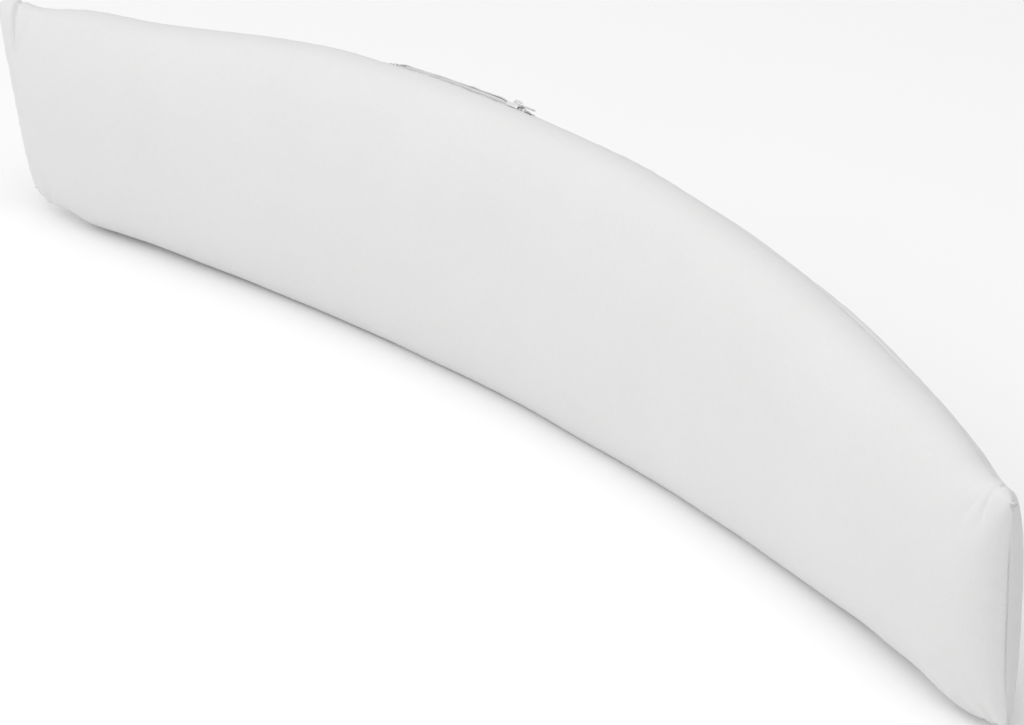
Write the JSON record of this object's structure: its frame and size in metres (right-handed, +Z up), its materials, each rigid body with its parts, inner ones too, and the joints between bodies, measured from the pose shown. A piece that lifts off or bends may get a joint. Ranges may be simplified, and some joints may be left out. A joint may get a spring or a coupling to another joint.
{
  "type": "curved bolster cushion",
  "caption": "Long crescent-shaped foam bolster standing on its lower edge, in a taut white cover with flat sewn ends and a zip in the top seam.",
  "frame": {"origin": "on the floor under the middle of the bolster's bounding box, so the flattened foot lies at z 0", "axes": "+X along the bolster towards the end away from the zip, +Y towards the outside of the crescent, so the hollow side faces -Y, +Z up"},
  "size_m": [1.0606, 0.1274, 0.2002],
  "materials": {
    "cover_fabric": "matte",
    "foam": "matte",
    "wadding": "matte",
    "liner_cotton": "matte",
    "seam_fabric": "matte",
    "zip_tape": "matte",
    "zip_coil": "satin",
    "zip_metal": "satin"
  },
  "bodies": {
    "cushion": {"foam_core": "foam", "wadding_front": "wadding", "wadding_back": "wadding", "liner_front": "liner_cotton", "liner_back": "liner_cotton", "cover_front": "cover_fabric", "cover_back": "cover_fabric", "top_seam_allowance": "seam_fabric", "bottom_seam_allowance": "seam_fabric", "end_seam_left": "seam_fabric", "end_seam_right": "seam_fabric", "zip_tape_front": "zip_tape", "zip_tape_back": "zip_tape", "zip_coil_front": "zip_coil", "zip_coil_back": "zip_coil", "zip_top_stops": "zip_metal", "zip_bottom_stop": "zip_metal", "zip_bar_tacks": "seam_fabric"},
    "zip_slider_body": {"zip_slider": "zip_metal"},
    "zip_pull_body": {"zip_pull": "zip_metal"}
  },
  "joints": [
    {"name": "zip_travel", "type": "hinge", "parent": "cushion", "child": "zip_slider_body", "pos_m": [0.00023, -1.27534, -0.61604], "axis": [-0.0002, -0.5254, 0.8509], "range_deg": [0, 4.16]},
    {"name": "pull_swing", "type": "hinge", "parent": "zip_slider_body", "child": "zip_pull_body", "pos_m": [-0.04704, 0.04054, 0.1979], "axis": [0.0109, -0.7972, 0.6036], "range_deg": [0, 180]}
  ]
}
